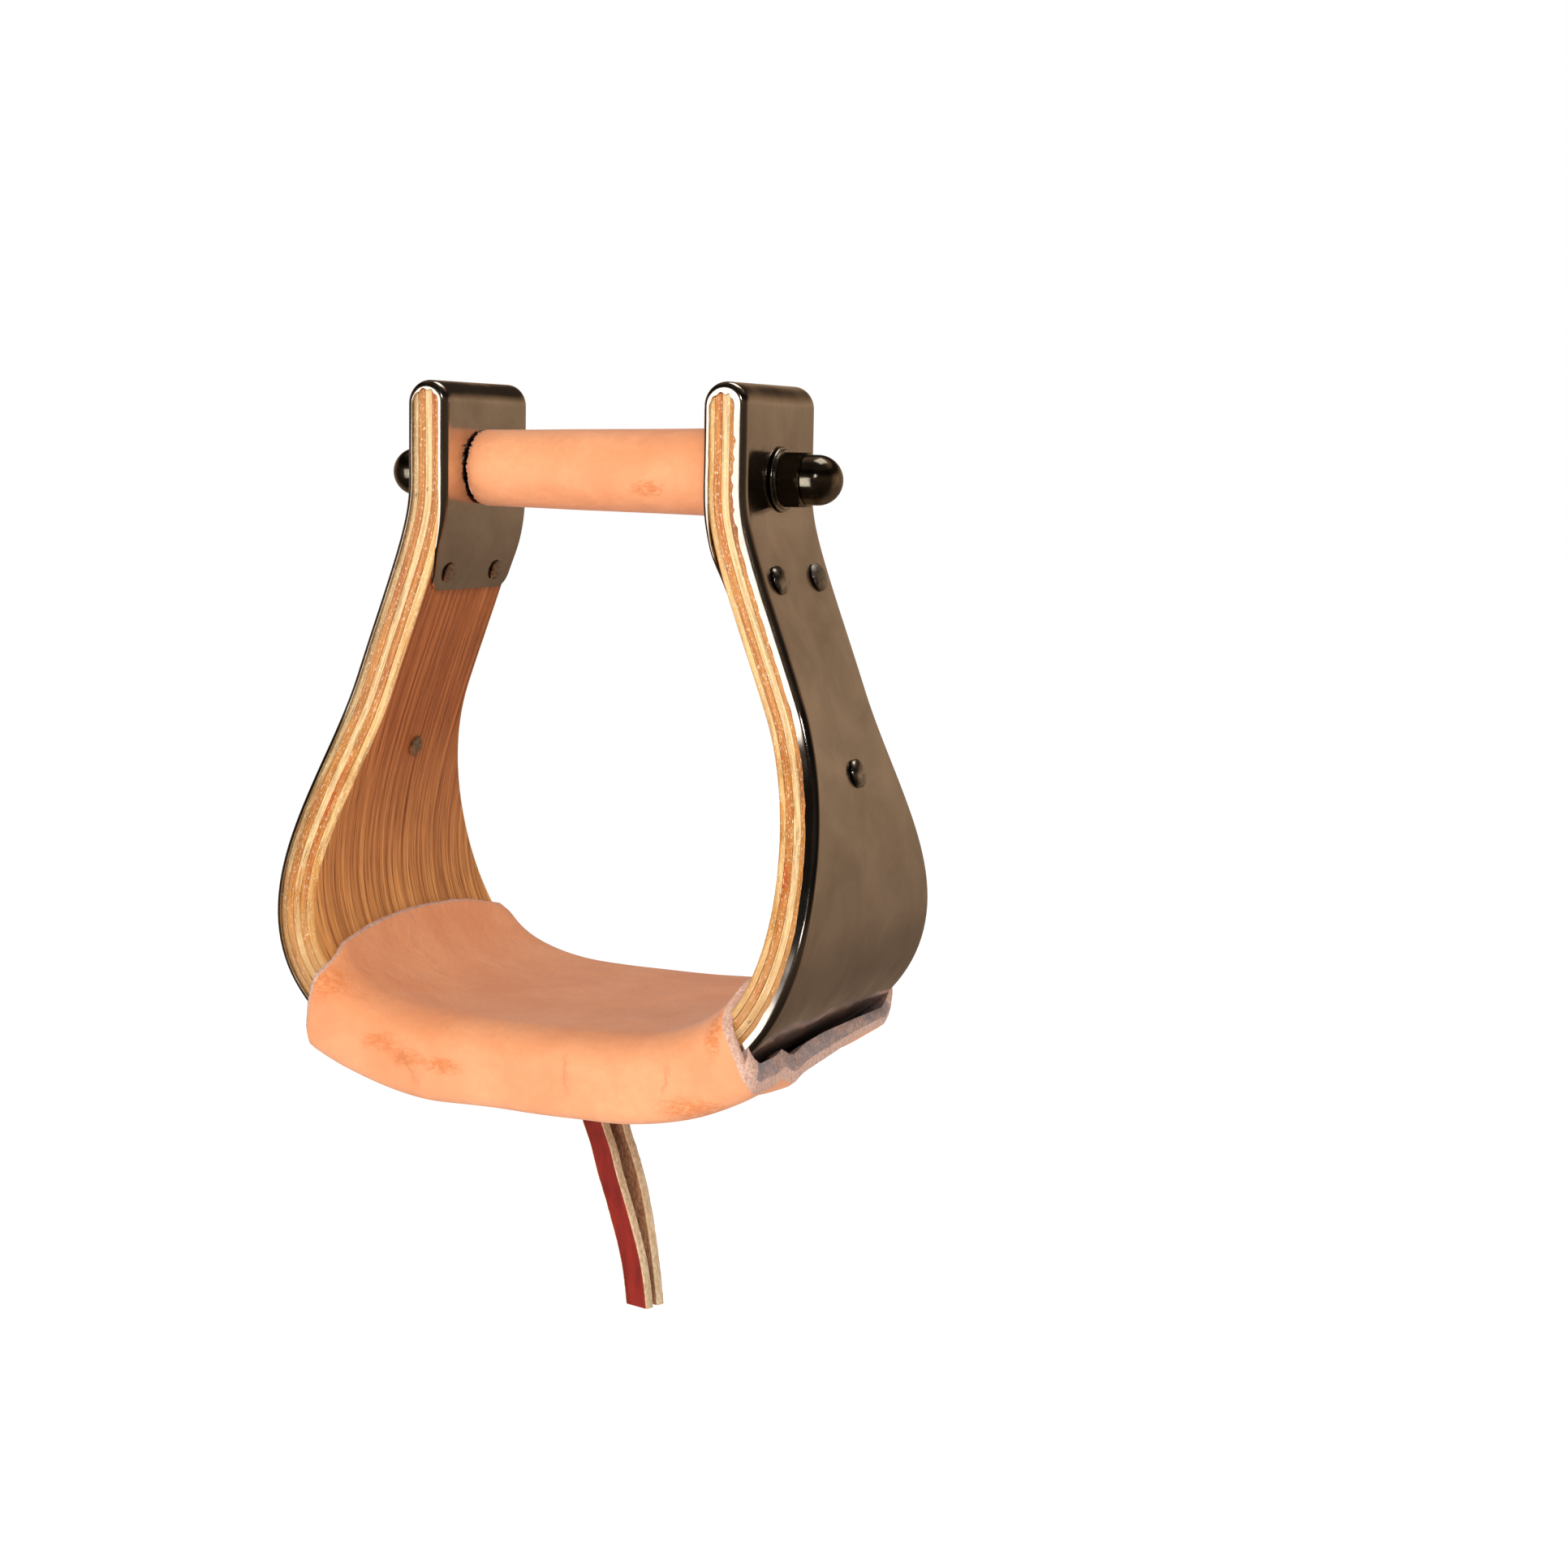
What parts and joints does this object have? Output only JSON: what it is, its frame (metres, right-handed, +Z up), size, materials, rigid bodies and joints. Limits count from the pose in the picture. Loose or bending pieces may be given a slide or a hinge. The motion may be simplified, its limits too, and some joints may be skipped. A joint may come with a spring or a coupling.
{
  "type": "western bell stirrup",
  "caption": "Western bell stirrup: bent plywood bow bound in polished steel, with a leather-covered tread and a turning leather-covered roller.",
  "frame": {"origin": "middle of the cross rod, where the stirrup leather carries the stirrup", "axes": "+X along the roller towards its thicker end, +Y from the front opening to the back, +Z up from the tread to the neck"},
  "size_m": [0.1584, 0.1024, 0.2549],
  "materials": {
    "oak_face": "satin, lightly varnished oak veneer",
    "orange_veneer": "sawn edge, resin-coloured",
    "pale_veneer": "sawn edge, pale",
    "polished_steel": "mirror-polished stainless sheet",
    "fastener_steel": "plain steel, lightly worn",
    "dark_nickel": "dark nickel plate, glossy",
    "skirting_leather": "smooth natural vegetable-tanned leather",
    "latigo": "oiled burgundy latigo with a raw tan flesh side",
    "packing_wood": "plain sawn softwood"
  },
  "bodies": {
    "root": {"ply_1": "oak_face", "ply_2": "orange_veneer", "ply_3": "pale_veneer", "ply_4": "orange_veneer", "ply_5": "pale_veneer", "steel_binding": "polished_steel", "tread_block": "packing_wood", "tread_cover": "skirting_leather", "tread_lace": "latigo", "lace_tail_front": "latigo", "lace_tail_back": "latigo", "cross_rod": "dark_nickel", "washer_right": "fastener_steel", "washer_left": "fastener_steel", "cap_nut_right": "dark_nickel", "cap_nut_left": "dark_nickel", "rivet_upper_left_front": "fastener_steel", "rivet_upper_left_back": "fastener_steel", "rivet_mid_left": "fastener_steel", "rivet_upper_right_front": "fastener_steel", "rivet_upper_right_back": "fastener_steel", "rivet_mid_right": "fastener_steel"},
    "roller": {"roller_tube": "fastener_steel", "roller_sleeve": "skirting_leather"}
  },
  "joints": [
    {"name": "roller_spin", "type": "hinge", "parent": "root", "child": "roller", "pos_m": [0, -0.0032, 0.0015], "axis": [1, 0, 0], "continuous": true}
  ]
}
